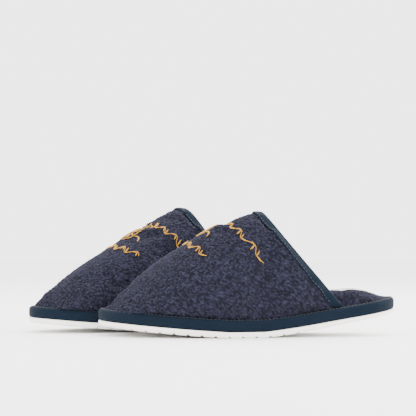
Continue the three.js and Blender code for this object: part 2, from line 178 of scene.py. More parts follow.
floor_mesh = bpy.data.meshes.new("floor")
floor_mesh.from_pydata(
    [(-half_floor, -half_floor, 0), (half_floor, -half_floor, 0), (half_floor, half_floor, 0),
     (-half_floor, half_floor, 0)], [], [(0, 1, 2, 3)])
floor_mesh.materials.append(finish_of("pale_floor", floor_paint, {"Roughness": 0.7}))
floor = bpy.data.objects.new("floor", floor_mesh)
bpy.context.scene.collection.objects.link(floor)

world = bpy.data.worlds.new("studio")
bpy.context.scene.world = world
world.use_nodes = True
world.node_tree.nodes["Background"].inputs["Color"].default_value = (1, 1, 1, 1)
world.node_tree.nodes["Background"].inputs["Strength"].default_value = sky_strength


def panel(name, at, size, watts):
    """A square soft light that hangs at a point and faces the slippers."""
    light = bpy.data.lights.new(name, "AREA")
    light.size = size
    light.energy = watts
    lamp = bpy.data.objects.new(name, light)
    bpy.context.scene.collection.objects.link(lamp)
    lamp.location = at
    lamp.rotation_euler = (-Vector(at)).to_track_quat("-Z", "Y").to_euler()


panel("panel_above", (-0.3, 0.2, 1.6), 1.6, 36)
panel("panel_behind_heel", (-0.5, 1.5, 1.1), 1.0, 30)
panel("panel_front", (1.5, 0.6, 1.0), 1.2, 10)


# The outsole. Off-white moulded foam rubber, about 5 mm thick, with cross grooves for grip that show as small
# notches along its lower edge. It is cut to the plan of the sole, which lifts towards the toe and the heel.
sole_length = 285 * mm
ball_outer, ball_inner = 53 * mm, 51 * mm
waist_outer, waist_inner = 46.5 * mm, 44 * mm
heel_half = 37.5 * mm
toe_tip = np.array((-5 * mm, 0))
heel_tip = np.array((0, sole_length))
ball_outer_at, ball_inner_at = 104 * mm, 90 * mm
waist_at = sole_length - 112 * mm
heel_round_at = sole_length - 42 * mm
toe_spring, heel_spring = 9.5 * mm, 20.5 * mm
flat_start, flat_end = 122 * mm, 155 * mm
rocker_power = 1.12
toe_bluntness, toe_fullness, heel_roundness, side_ease = 0.66, 0.5, 0.58, 0.45


def bezier(points, steps):
    """Points along a cubic curve, up to its last one."""
    t = np.linspace(0, 1, steps, endpoint=False)[:, None]
    a, b, c, d = points
    return (1 - t) ** 3 * a + 3 * (1 - t) ** 2 * t * b + 3 * (1 - t) * t ** 2 * c + t ** 3 * d


def half_outline(sign, ball, ball_at, waist, steps=40):
    """Points from the toe tip to the heel tip along one side of the sole."""
    side = np.array((sign * ball, ball_at))
    middle = np.array((sign * waist, waist_at))
    back = np.array((sign * heel_half, heel_round_at))

    def quarter(tip, end, blunt, full):
        return [np.array((tip[0] + blunt * (end[0] - tip[0]), tip[1])),
                np.array((end[0], end[1] + full * (tip[1] - end[1])))]

    def along(a, b):
        return [np.array((a[0], a[1] + side_ease * (b[1] - a[1]))),
                np.array((b[0], b[1] - side_ease * (b[1] - a[1])))]

    round_heel = quarter(heel_tip, back, heel_roundness, heel_roundness)[::-1]
    curves = [
        [toe_tip, *quarter(toe_tip, side, toe_bluntness, toe_fullness), side],
        [side, *along(side, middle), middle],
        [middle, *along(middle, back), back],
        [back, *round_heel, heel_tip],
    ]
    return np.vstack([*(bezier(c, steps) for c in curves), heel_tip])


def unit(vectors):
    return vectors / np.maximum(np.linalg.norm(vectors, axis=-1, keepdims=True), 1e-12)


outer_side = half_outline(1, ball_outer, ball_outer_at, waist_outer)
inner_side = half_outline(-1, ball_inner, ball_inner_at, waist_inner)


def drawn_in(side, sign, inset):
    """One side of the plan, moved inwards by inset, with both tips on their own lines."""
    along = unit(np.gradient(side, axis=0))
    inwards = np.stack([-along[:, 1], along[:, 0]], 1) * sign
    moved = side + inwards * inset
    moved[0] = toe_tip[0], inset
    moved[-1] = heel_tip[0], sole_length - inset
    return moved


def edges_at(inset, from_toe):
    """x of the inner and the outer edge of the plan, drawn in by inset, at distances from the toe."""
    outer = drawn_in(outer_side, 1, inset)
    inner = drawn_in(inner_side, -1, inset)
    return (np.interp(from_toe, inner[:, 1], inner[:, 0]), np.interp(from_toe, outer[:, 1], outer[:, 0]))


def rise(from_toe):
    """How far the sole is lifted off the ground."""
    toe = np.clip((flat_start - from_toe) / flat_start, 0, None)
    heel = np.clip((from_toe - flat_end) / (sole_length - flat_end), 0, None)
    return toe_spring * toe ** rocker_power + heel_spring * heel ** rocker_power


def quads(rows, columns, round_rows=False, round_columns=False, start=0):
    """Faces of a grid of points, with its rows or columns joined round where asked."""
    i, j = np.meshgrid(
        np.arange(rows if round_rows else rows - 1),
        np.arange(columns if round_columns else columns - 1), indexing="ij")
    a = i * columns + j
    b = i * columns + (j + 1) % columns
    c = (i + 1) % rows * columns + (j + 1) % columns
    d = (i + 1) % rows * columns + j
    return (np.stack([a, b, c, d], -1).reshape(-1, 4) + start).tolist()


def piece(side, name, points, faces, material, slot, nodes, cloth=None, crease=None):
    """A finished piece: points of the slipper's own frame and their faces, stood up with its slipper.
    nodes are the CAD nodes it stands for. cloth gives each point a place on the flat cloth, in metres."""
    mesh = bpy.data.meshes.new(f"{side}_{name}")
    stand = np.array(stands[side])
    points = np.asarray(points, float).reshape(-1, 3) - (0, sole_length / 2, 0)
    world_points = points @ stand[:3, :3].T + stand[:3, 3]
    if side == "right":
        faces = [f[::-1] for f in faces]
    mesh.from_pydata(world_points.tolist(), [], faces)
    if cloth is not None:
        flat = mesh.uv_layers.new(name="cloth")
        corners = np.zeros(len(mesh.loops), np.int32)
        mesh.loops.foreach_get("vertex_index", corners)
        flat.data.foreach_set("uv", np.asarray(cloth, float).reshape(-1, 2)[corners].ravel())
    mesh.validate()
    mesh.update()
    mesh.shade_smooth()
    if crease:
        mesh.set_sharp_from_angle(angle=math.radians(crease))
    mesh.materials.append(material)
    made = bpy.data.objects.new(f"{side}_{name}", mesh)
    bpy.context.scene.collection.objects.link(made)
    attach(made, side + "_slipper")
    if nodes:
        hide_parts(*(f"{side}_{n}" for n in nodes))
    return made


outsole_thickness = 5.5 * mm
groove_depth, groove_width, groove_pitch = 1.2 * mm, 3 * mm, 13 * mm
groove_floor = 0.6  # of its mouth
plain_toe, plain_heel = 30 * mm, 26 * mm
# Section of the edge: how far in and how high, from the bottom round to the top. The toe leans back a little.
outsole_edge = [(1.6, 0), (0.7, 0.35), (0.15, 1.4), (0, 3.4), (0.1, 5.1), (0.5, 5.5)]
thinner_toe, thinner_heel = 0.8 * mm, 1.7 * mm  # how much the foam rubber thins towards its ends
thinner_toe_to, thinner_heel_from = 45 * mm, 170 * mm
groove_fade = 1.6 * mm  # the height on the edge where a groove runs out


def outsole_paint(w):
    pores = w.speckle(0.9 * mm, 3)
    scuffs = w.speckle(14 * mm, 4, 0.65).between(0.5, 0.75)
    clean, worn = (0.90, 0.865, 0.80), (0.83, 0.785, 0.71)
    return {
        "Base Color": (scuffs * 0.6 + (1 - pores) * 0.35).mix(clean, worn),
        "Roughness": 0.55 + pores * 0.2,
        "Height": (pores + w.speckle(5 * mm) * 0.6, 0.12 * mm),
    }


foam_rubber = finish_of("moulded_foam_rubber", outsole_paint, {"Specular IOR Level": 0.35})


def smooth_step(value, low, high):
    t = np.clip((value - low) / (high - low), 0, 1)
    return t * t * (3 - 2 * t)


def outsole(side):
    grooves = np.arange(plain_toe, sole_length - plain_heel, groove_pitch)
    half = groove_width / 2
    corners = [(-half, 0), (-half * groove_floor, 1), (half * groove_floor, 1), (half, 0)]
    cut = [(g + offset, depth) for g in grooves for offset, depth in corners]
    even = sole_length * (1 - np.cos(np.linspace(0, math.pi, 150))) / 2
    plain = [(y, 0) for y in even if np.abs(grooves - y).min() > groove_width]
    stations = np.array(sorted(cut + plain))
    from_toe, depth = stations[:, 0], stations[:, 1] * groove_depth
    across = np.linspace(-1, 1, 13)
    ring = [(*at, -1) for at in outsole_edge[::-1]]
    ring += [(*outsole_edge[0], c) for c in across[1:-1]]
    ring += [(*at, 1) for at in outsole_edge]
    ring += [(*outsole_edge[-1], c) for c in across[::-1][1:-1]]
    columns = []
    for inset, height, share in ring:
        inset, height = inset * mm, height * mm
        y = inset + from_toe * (sole_length - 2 * inset) / sole_length
        inner, outer = edges_at(inset, y)
        x = (inner + outer) / 2 + share * (outer - inner) / 2
        lift = depth * np.clip(1 - height / groove_fade, 0, 1)
        thinner = (thinner_toe * (1 - smooth_step(y, 0, thinner_toe_to))
                   + thinner_heel * smooth_step(y, thinner_heel_from, sole_length))
        lift = lift + thinner * (1 - height / outsole_thickness)
        columns.append(np.stack([x, y, rise(y) + height + lift], 1))
    points = np.stack(columns, 1)
    rows, count = points.shape[:2]
    faces = quads(rows, count, round_columns=True)
    faces = [f[::-1] for f in faces]
    caps = [list(range(count)), list(range((rows - 1) * count, rows * count))[::-1]]
    piece(side, "tread", points, faces + caps, foam_rubber, "outsole", ["outsole"], crease=40)


for side in sides:
    outsole(side)


# The core of the sole. A foam sheet and a fibre board, glued inside the tape, and the foam pad on top of them
# that makes the footbed soft. None of it shows on a finished slipper, so the plain sheets stay as they are.
def foam_paint(w):
    cells = w.node("TexVoronoi", None, {"Vector": w.place(), "Scale": 1 / (1.2 * mm)})
    return {
        "Base Color": cells.between(0.1, 0.7).mix((0.80, 0.79, 0.74), (0.62, 0.61, 0.56)),
        "Height": (1 - cells, 0.2 * mm),
    }


def board_paint(w):
    fibres = w.speckle(1.5 * mm, 6, 0.7)
    return {
        "Base Color": fibres.mix((0.52, 0.42, 0.29), (0.34, 0.26, 0.17)),
        "Height": (fibres, 0.1 * mm),
    }


foam = finish_of("open_cell_foam", foam_paint, {"Roughness": 0.9})
fibre_board = finish_of("pressed_fibre_board", board_paint, {"Roughness": 0.85})
for side in sides:
    for node, material in (("midsole_foam", foam), ("insole_board", fibre_board), ("insole_pad", foam)):
        frame["nodes"][f"{side}_{node}"].data.materials.clear()
        frame["nodes"][f"{side}_{node}"].data.materials.append(material)


# The edge tape. Woven navy tape, glued and sewn round the whole edge of the sole, folded in under it and over
# the footbed. It is pulled tight over the edge, so its outer face is nearly flat and its top is rounded.
navy_tape = (0.0022, 0.0050, 0.0098)
navy_tape_light = (0.0055, 0.0105, 0.0190)
tape_thickness = 0.8 * mm
tape_fold = [  # how far in and how high, from the fold under the sole, out, up and in again
    (9, 5.85), (5, 5.85), (2.2, 5.85), (1.0, 6.0), (0.35, 6.6), (0.1, 7.6), (0, 9.5), (0, 11.5),
    (0.05, 13.2), (0.35, 14.6), (1.0, 15.7), (1.9, 16.35), (3.0, 16.6), (4.6, 16.55),
]


def woven(w, yarn):
    """Height of a plain weave from the place on the flat cloth: two sets of ribs that take turns on top."""
    at = w.node("SeparateXYZ", None, {0: w.node("UVMap", {"uv_map": "cloth"})})
    across = Wire(w.tree, at.socket.node.outputs[1])
    turns = math.pi / yarn
    warp = w.maths("SINE", at * turns)
    weft = w.maths("SINE", across * turns)
    return warp * weft * 0.5 + 0.5


def tape_paint(w):
    weave = woven(w, 0.55 * mm)
    lint = w.speckle(0.7 * mm, 2).between(0.68, 0.8)
    worn = w.speckle(22 * mm, 3, 0.6)
    base = (weave * 0.5 + worn * 0.5).mix(navy_tape, navy_tape_light)
    return {
        "Base Color": (lint * 0.2).mix(base, (0.030, 0.040, 0.056)),
        "Roughness": 0.72 + weave * 0.15,
        "Height": (weave + w.speckle(1.4 * mm) * 0.7, 0.14 * mm),
    }


tape_cloth = finish_of("woven_tape", tape_paint, {
    "Sheen Weight": 0.02, "Sheen Roughness": 0.5, "Specular IOR Level": 0.05,
})


def run_along(line):
    """How far along a line of points each of them is."""
    return np.concatenate([[0], np.linalg.norm(np.diff(line, axis=0), axis=1).cumsum()])


def round_the_sole(inset_height):
    """Closed lines round the plan for each (inset, height), as rows of points, and the length along them."""
    lines = []
    for inset, height in inset_height:
        outer = drawn_in(outer_side, 1, inset)
        inner = drawn_in(inner_side, -1, inset)
        loop = np.vstack([outer, inner[-2:0:-1]])
        lines.append(np.column_stack([loop, rise(loop[:, 1]) + height]))
    return np.stack(lines), run_along(np.vstack([outer_side, inner_side[-2::-1]]))


def tape_section(outer_face):
    """The closed section of the folded tape, from the line of its outer face."""
    way = unit(np.gradient(outer_face, axis=0))
    inner_face = outer_face + np.stack([way[:, 1], -way[:, 0]], 1) * tape_thickness
    return np.vstack([outer_face, inner_face[::-1]])


def edge_tape(side):
    fold = np.array(tape_fold) * mm
    run = run_along(fold)
    rows, length = round_the_sole(tape_section(fold))
    count = rows.shape[1]
    faces = quads(rows.shape[0], count, round_rows=True, round_columns=True)
    across = np.concatenate([run, run[::-1]])
    cloth = np.stack(np.broadcast_arrays(length[:count][None, :], across[:, None]), -1)
    made = piece(side, "edge_tape", rows, faces, tape_cloth, "tape", ["sole_tape"], cloth=cloth)


for side in sides:
    edge_tape(side)


# The stitches that close the edge tape over the footbed. Dark navy sewing thread, one lock stitch after
# another, a little inside the fold, with their ends pulled down into the tape.
def thread_paint(w):
    twist = w.speckle(0.5 * mm, 1)
    colour = twist.mix((0.004, 0.006, 0.010), (0.013, 0.017, 0.026))
    return {"Base Color": colour, "Height": (twist, 0.05 * mm)}


sewing_thread = finish_of("sewing_thread", thread_paint, {"Roughness": 0.55, "Specular IOR Level": 0.4})


def threads(starts, ends, ups, radius, arch, sides_of_thread=4):
    """Short threads from starts to ends, arched by arch along ups, as points and faces."""
    share = np.linspace(0, 1, 5)
    lift = np.sin(math.pi * share) * arch - (share - 0.5) ** 2 * radius * 4
    spine = (starts[:, None] + (ends - starts)[:, None] * share[:, None]) + ups[:, None] * lift[:, None]
    along = unit(ends - starts)
    aside = unit(np.cross(ups, along))
    thick = radius * np.array([0.45, 0.95, 1.0, 0.95, 0.45])
    turns = np.linspace(0, 2 * math.pi, sides_of_thread, endpoint=False)
    ring = (np.cos(turns)[:, None] * aside[:, None, None] + np.sin(turns)[:, None] * ups[:, None, None])
    points = spine[:, :, None] + ring * thick[:, None, None]
    per_thread = len(share) * sides_of_thread
    one = quads(len(share), sides_of_thread, round_columns=True)
    one += [list(range(sides_of_thread))[::-1], list(range(per_thread - sides_of_thread, per_thread))]
    faces = [[v + k * per_thread for v in f] for k in range(len(starts)) for f in one]
    return points.reshape(-1, 3), faces


def evenly(line, step, values=None):
    """The points of a line, or the values given for them, a step apart along it."""
    run = run_along(line)
    at = np.arange(0, run[-1], step)
    values = line if values is None else values
    return np.stack([np.interp(at, run, values[:, k]) for k in range(3)], 1)


stitch_length, stitch_gap, stitch_radius = 3.0 * mm, 0.7 * mm, 0.38 * mm
stitch_arch = 0.1 * mm
edge_stitch_inset, edge_stitch_height = 2.6 * mm, 16.75 * mm


def edge_stitches(side):
    line, _ = round_the_sole([(edge_stitch_inset, edge_stitch_height)])
    line = np.vstack([line[0], line[0][:1]])
    holes = evenly(line, stitch_length + stitch_gap)
    ahead = unit(np.roll(holes, -1, 0) - holes)
    up = np.tile((0.0, 0.0, 1.0), (len(holes), 1))
    points, faces = threads(holes, holes + ahead * stitch_length, up, stitch_radius, stitch_arch, 6)
    piece(side, "edge_stitches", points, faces, sewing_thread, "thread", ["edge_seam_thread"])


for side in sides:
    edge_stitches(side)


# The footbed. Navy terry over the foam pad, sewn down under the edge tape. It swells inside the upper and in
# the heel, and thins again towards both ends. Its pile is short loops, each a little knot of yarn.
layer_top = {"footbed": 14.0 * mm, "footbed_margin": 15.5 * mm, "vamp": 15.8 * mm}
tape_lip = 4.6 * mm
vamp_inset = 5.6 * mm
vamp_thickness = 7.3 * mm
side_end = sole_length - 54 * mm
behind_binding = side_end + 2.4 * mm
pad_free_of_upper = 16.0 * mm
pad_rise, arch_rise = 6.2 * mm, 6 * mm
pad_shoulder = 14 * mm
heel_fall = 3.0 * mm  # how much thinner the pad is at the heel end
heel_crown = 8.4 * mm  # extra height just behind the topline, falling towards the heel end
loop_size = 1.6 * mm
loop_height = 1.7 * mm
footbed_inset, footbed_terry_thickness = 2.0 * mm, 2.5 * mm
bare_edge, pile_edge = 2.2 * mm, 5 * mm  # how far in the loops begin, and where they are full


def terry_paint(w):
    loops = w.node("Attribute", {"attribute_name": "pile"}, out=2)
    fine = w.speckle(0.8 * mm, 2, 0.6)
    patches = w.speckle(16 * mm, 3, 0.6)
    height = loops * 0.75 + fine * 0.45 - 0.1
    tips = height.between(0.15, 0.95)
    # deep is painted shade: a near-black navy for the shade that falls between the loops, not a darker yarn,
    # and yarn is the navy of the loop tips. Where the loops are left out near edges and seams, the pile
    # attribute is low, so the terry there is painted in this shade too.
    deep, yarn = (0.0042, 0.0042, 0.0085), (0.0235, 0.0240, 0.0455)
    base = tips.mix(deep, yarn)
    worn = (patches.between(0.35, 0.75) * tips * 0.3).mix(base, (0.029, 0.0295, 0.053))
    return {
        "Base Color": worn,
        "Roughness": 0.95 - tips * 0.12,
        "Height": (fine * 0.8 + loops * 0.3, 0.7 * mm),
    }


terry = finish_of("navy_terry", terry_paint, {
    "Sheen Weight": 0.02, "Sheen Roughness": 0.6, "Specular IOR Level": 0.1,
})


def pile_height(points, seed):
    """The loops of the pile at points of a surface, from 0 in the gaps between loops to 1 on their tips."""
    heights = np.empty(len(points))
    for k, point in enumerate(points):
        at = Vector(point) / loop_size + Vector((seed, 0, 0))
        near, places = noise.voronoi(at)
        own = noise.cell(places[0] * 7.3)
        clump = noise.noise(at * 0.35)
        heights[k] = 0.88 - near[0] * 1.0 + 0.24 * own + 0.12 * clump
    return np.clip(heights, 0, 1.25)


def surface_normals(grid):
    """Unit normals of a grid of points, by its rows and columns."""
    return unit(np.cross(np.gradient(grid, axis=1), np.gradient(grid, axis=0)))


def rim(fine, coarse):
    """Triangles between an edge of a fine grid and the same edge of a coarser one."""
    share = (len(fine) - 1) // (len(coarse) - 1)
    faces = []
    for k in range(len(coarse) - 1):
        run = fine[k * share:(k + 1) * share + 1]
        half = share // 2
        faces += [(run[i + 1], run[i], coarse[k]) for i in range(half)]
        faces.append((run[half], coarse[k], coarse[k + 1]))
        faces += [(run[i + 1], run[i], coarse[k + 1]) for i in range(half, share)]
    return faces


def borders(rows, columns, start=0):
    """The points along the four edges of a grid, each way round for the faces of a closed slab."""
    ids = np.arange(rows * columns).reshape(rows, columns) + start
    return ids[0], ids[-1][::-1], ids[::-1, 0], ids[:, -1]


def pile_slab(top, bottom, seed, fade, flip=False):
    """A closed slab of terry: the fine top grid with its loops raised, over a coarser bottom grid. fade is
    how far the loops are left out, by point. Returns points, faces and the pile's height by point."""
    rows, columns = top.shape[:2]
    low_rows, low_columns = bottom.shape[:2]
    normal = surface_normals(top) * (-1 if flip else 1)
    pile = pile_height(top.reshape(-1, 3), seed).reshape(rows, columns) * (1 - fade)
    raised = top + normal * (pile - 0.45)[..., None] * loop_height * (1 - fade)[..., None]
    faces = quads(rows, columns)
    faces += [f[::-1] for f in quads(low_rows, low_columns, start=rows * columns)]
    for fine, coarse in zip(borders(rows, columns), borders(low_rows, low_columns, rows * columns)):
        faces += rim(fine, coarse)
    if flip:
        faces = [list(f)[::-1] for f in faces]
    points = np.vstack([raised.reshape(-1, 3), bottom.reshape(-1, 3)])
    heights = np.concatenate([pile.ravel(), np.full(low_rows * low_columns, 0.4)])
    return points, faces, heights


def footbed_height(x, y):
    """Height of the footbed's face over the sole's plan."""
    distance = np.full(x.shape, 1.0)
    for line in (outer_side, inner_side):
        for start in range(0, len(line), 4):
            point = line[start]
            distance = np.minimum(distance, np.hypot(x - point[0], y - point[1]))
    in_heel = np.clip((y - behind_binding) / pad_shoulder, 0, 1)
    start = pad_free_of_upper + (vamp_inset - pad_free_of_upper) * in_heel
    t = np.clip((distance - start) / pad_shoulder, 0, 1)
    arch = smooth_step(sole_length - y, 30 * mm, 95 * mm) * smooth_step(y, 50 * mm, 120 * mm)
    to_heel = sole_length - y
    crown = smooth_step(y, 150 * mm, 220 * mm) * smooth_step(to_heel, 10 * mm, 44 * mm)
    fall = heel_fall * (1 - smooth_step(to_heel, 6 * mm, 30 * mm))
    swell = pad_rise + arch_rise * arch + heel_crown * crown - fall
    return rise(y) + layer_top["footbed_margin"] + swell * np.sqrt(1 - (1 - t) ** 2)


def footbed_grid(rows, columns, under):
    inset = footbed_inset
    share = np.linspace(-1, 1, columns)[None, :]
    even = (1 - np.cos(np.linspace(0.02, math.pi - 0.02, rows))) / 2
    blend = 0.25 * np.linspace(0.0005, 0.9995, rows) + 0.75 * even
    y = (inset + blend * (sole_length - 2 * inset))[:, None]
    inner, outer = edges_at(inset, y)
    x = (inner + outer) / 2 + share * (outer - inner) / 2
    y = np.broadcast_to(y, x.shape)
    top = footbed_height(x, y)
    if under:
        top = np.maximum(top - footbed_terry_thickness, rise(y) + layer_top["footbed"])
    return np.stack([x, y, top], -1)


def give_pile(made, heights):
    values = made.data.attributes.new("pile", "FLOAT", "POINT")
    values.data.foreach_set("value", heights)


def footbed(side):
    top = footbed_grid(241, 97, False)
    bottom = footbed_grid(61, 25, True)
    inner, outer = edges_at(footbed_inset, top[..., 1])
    to_edge = np.minimum(top[..., 0] - inner, outer - top[..., 0])
    to_edge = np.minimum(to_edge, np.minimum(top[..., 1], sole_length - top[..., 1]) - footbed_inset)
    fade = 1 - smooth_step(to_edge, bare_edge, pile_edge)
    points, faces, heights = pile_slab(top, bottom, 3.0 if side == "left" else 11.0, fade)
    made = piece(side, "footbed_terry", points, faces, terry, "terry", ["insole_terry"])
    give_pile(made, heights)


for side in sides:
    footbed(side)


# The label. A white woven oval on the heel of the footbed, sewn down flat over the pile, with a navy leaf
# ring and a rosette woven into it.
label_from_heel, label_half_length, label_half_width = 42 * mm, 22 * mm, 12 * mm
label_lift, label_thickness = 0.5 * mm, 0.7 * mm
label_edge_drop = 0.9 * mm  # how far its stitches pull its edge down


def label_paint(w):
    at = w.node("SeparateXYZ", None, {0: w.node("UVMap", {"uv_map": "cloth"})})
    across = at * (1 / label_half_width)
    along = Wire(w.tree, at.socket.node.outputs[1]) * (1 / label_half_length)
    far = w.maths("SQRT", across * across + along * along)
    turn = across.maths("ARCTAN2", along, across)
    ring = far.between(0.76, 0.79) * (1 - far.between(0.87, 0.90))
    petals = w.maths("COSINE", turn * 6) * 0.16 + 0.36
    rosette = (petals - far).between(-0.02, 0.02) * far.between(0.09, 0.12)
    motif = ring.maths("MAXIMUM", ring, rosette)
    weave = woven(w, 0.5 * mm)
    white = weave.mix((0.78, 0.78, 0.76), (0.60, 0.60, 0.58))
    return {
        "Base Color": motif.mix(white, (0.03, 0.04, 0.075)),
        "Roughness": 0.5 + weave * 0.2,
        "Height": (weave + motif * 0.8, 0.12 * mm),
    }


label_cloth = finish_of("woven_label", label_paint, {"Sheen Weight": 0.15, "Specular IOR Level": 0.4})


def oval(rings, spokes):
    """Where the points of an oval sheet are: their share of the way out, and their turn."""
    return np.linspace(0.001, 1, rings)[:, None], np.linspace(0, 2 * math.pi, spokes, endpoint=False)[None, :]


def oval_slab(face, back):
    """A closed slab between two ovals of points, each as rings from its middle out."""
    rings, spokes = face.shape[:2]
    count = rings * spokes
    faces = [f[::-1] for f in quads(rings, spokes, round_columns=True)]
    faces += quads(rings, spokes, round_columns=True, start=count)
    edge = range(count - spokes, count)
    faces += [(a + count, b + count, b, a) for a, b in zip(edge, [*edge[1:], edge[0]])]
    faces += [list(range(spokes)), list(range(count, count + spokes))[::-1]]
    return np.vstack([face.reshape(-1, 3), back.reshape(-1, 3)]), faces


def label(side):
    share, turns = oval(14, 64)
    x = share * label_half_width * np.cos(turns)
    y = sole_length - label_from_heel + share * label_half_length * np.sin(turns)
    lift = label_lift - label_edge_drop * share ** 8
    top = np.stack([x, y, footbed_height(x, y) + lift + label_thickness], -1)
    low = np.stack([x, y, footbed_height(x, y) + lift], -1)
    cloth = np.stack([x, y - sole_length + label_from_heel], -1).reshape(-1, 2)
    made = piece(side, "footbed_label", *oval_slab(top, low), label_cloth, "label", ["insole_label"],
                 cloth=np.vstack([cloth, cloth]))


for side in sides:
    label(side)


# The upper. Navy terry, thin wadding and a woven lining, lasted over the sole and closed under the edge tape.
# The layers are one dome at three depths, so they keep their places. The wadding swells between the seams,
# which a cloth simulation finds, and the cloth lies in a few soft folds.
vamp_base = layer_top["vamp"]
apex_at, apex_height = 156 * mm, 117 * mm
ridge_fall, toe_round, dome_fullness, topline_dip = 1.42, 0.94, 0.86, 0.8
# Where the ridge of each upper differs from the dome: its place from toe to topline, how wide and how high.
ridge_swells = {
    "left": [(0.42, 0.24, 3.0 * mm), (0.80, 0.13, 4.6 * mm)],
    "right": [(0.13, 0.10, 4.0 * mm), (0.58, 0.18, -2.8 * mm), (1.0, 0.25, 6.5 * mm)],
}
pulled_back = {"left": 0.0 * mm, "right": 9.0 * mm}  # how far the topline is pulled towards the heel
toe_hold = 13 * mm  # how far from the toe seam its glue holds the layers where they were lasted
foot_roll, foot_roll_at = 2.6 * mm, 7 * mm  # how far the terry rolls out over the tape, and how high up
dome_radius = 52 * mm
slack_limit = 5 * mm
slack_grid = (33, 41)  # rows and columns that the cloth simulation moves
slack_frames = 20
cloth_shrinks = {"left": -0.035, "right": -0.045}  # less than nothing: the cloth is that much too large
wadding_push = {"left": 3.0, "right": 2.4}
seam_gap = 0.15 * mm  # between the toe seam and the first row of each layer
toe_crowding = 1.3  # above 1 the rows lie closer together towards the toe


def topline(angle):
    """Where the edge of the upper is, by its angle over the dome: 0 at the outer side, pi at the inner."""
    return side_end + (apex_at - side_end) * np.clip(np.sin(angle), 0, None) ** topline_dip


def dome(depth, from_toe, angle):
    """Points of the upper at a depth below the face of its terry."""
    inset = vamp_inset + depth
    inner, outer = edges_at(inset, from_toe)
    run = np.clip((from_toe - inset) / (apex_at - inset), 0, 1)
    height = (apex_height - vamp_base - depth) * (1 - (1 - run) ** ridge_fall) ** toe_round
    cos, sin = np.cos(angle), np.clip(np.sin(angle), 0, None)
    x = (outer + inner) / 2 + (outer - inner) / 2 * np.sign(cos) * np.abs(cos) ** dome_fullness
    z = rise(from_toe) + vamp_base + height * sin ** dome_fullness
    return np.stack(np.broadcast_arrays(x, from_toe, z), -1)


def dome_grid(depth, rows, columns, short=0.0):
    """Places on the upper as rows from the toe to the topline, each from the outer side over the ridge to the
    inner one: from the toe, and by angle. short is the share that they stop short of its edges."""
    share = np.linspace(short, 1 - short, rows)[:, None]
    turn = np.linspace(short / 2, 1 - short / 2, columns)[None, :] * math.pi
    angle = np.broadcast_to(turn, (rows, columns))
    start = vamp_inset + depth + seam_gap
    return start + share ** toe_crowding * (topline(angle) - start), angle


def plain_slab(face, back):
    """A closed slab between two grids of points with the same rows and columns."""
    rows, columns = face.shape[:2]
    count = rows * columns
    faces = [f[::-1] for f in quads(rows, columns)] + quads(rows, columns, start=count)
    for line in borders(rows, columns):
        faces += [(int(a), int(b), int(b) + count, int(a) + count) for a, b in zip(line, line[1:])]
    return np.vstack([face.reshape(-1, 3), back.reshape(-1, 3)]), faces


def swelling(side):
    """How the padded upper moves when its cloth is a little too large and the wadding pushes it out: a vector
    for each point of a coarse grid, found by a cloth simulation with its seams held."""
    rows, columns = slack_grid
    face, back = (dome(depth, *dome_grid(depth, rows, columns)) for depth in (0, vamp_thickness))
    count = rows * columns
    points, around = plain_slab(face, back)
    mesh = bpy.data.meshes.new("swelling")
    mesh.from_pydata(points.tolist(), [], around)
    mesh.update()
    form = bpy.data.objects.new("swelling", mesh)
    bpy.context.scene.collection.objects.link(form)
    held = form.vertex_groups.new(name="held")
    seams = [int(v) for line in borders(rows, columns) for v in line]
    held.add([*range(count, 2 * count), *seams], 1.0, "REPLACE")
    cloth = form.modifiers.new("cloth", "CLOTH")
    settings = {
        "vertex_group_mass": "held", "quality": 6, "mass": 0.2, "tension_stiffness": 12,
        "compression_stiffness": 6, "bending_stiffness": 0.15, "shrink_min": cloth_shrinks[side],
        "use_pressure": True, "uniform_pressure_force": wadding_push[side],
    }
    for name, value in settings.items():
        setattr(cloth.settings, name, value)
    cloth.settings.effector_weights.gravity = 0
    cloth.point_cache.frame_start, cloth.point_cache.frame_end = 1, slack_frames
    for step in range(1, slack_frames + 1):
        bpy.context.scene.frame_set(step)
    moved = form.evaluated_get(bpy.context.evaluated_depsgraph_get()).data
    found = np.zeros(len(moved.vertices) * 3)
    moved.vertices.foreach_get("co", found)
    bpy.context.scene.frame_set(1)
    bpy.data.objects.remove(form)
    shift = found.reshape(-1, 3)[:count] - face.reshape(-1, 3)
    far = np.linalg.norm(shift, axis=1, keepdims=True)
    shift *= np.minimum(1, slack_limit / np.maximum(far, 1e-9))
    return shift.reshape(rows, columns, 3)


# Soft folds, each a shallow groove over the dome: its two ends by distance from the toe and angle, how deep
# and how wide it is, and the small roll beside it.
folds = {
    "left": [
        ((0.150, 0.45), (0.189, 0.51), 2.6 * mm, 6 * mm),
        ((0.120, 0.68), (0.134, 0.73), 1.6 * mm, 5 * mm),
    ],
    "right": [
        ((0.112, 2.30), (0.148, 2.64), 3.6 * mm, 8 * mm),
        ((0.100, 1.90), (0.150, 2.20), 1.6 * mm, 7 * mm),
    ],
}


def fold_depth(side, points, from_toe, angle):
    """How deep the folds of that side lie at points of the dome."""
    total = np.zeros(points.shape[:-1])
    for start, end, depth, width in folds[side]:
        a, b = (dome(0, np.array(y), np.array(turn)) for y, turn in (start, end))
        along = b - a
        share = np.clip((points - a) @ along / (along @ along), 0, 1)
        off = np.linalg.norm(points - (a + share[..., None] * along), axis=-1)
        ends = np.sin(math.pi * np.clip(0.15 + 0.7 * share, 0, 1))
        groove, roll = np.exp(-(off / width) ** 2), np.exp(-((off - 1.7 * width) / width) ** 2)
        total += depth * ends * (groove - 0.35 * roll)
    return total


slack = {side: swelling(side) for side in sides}


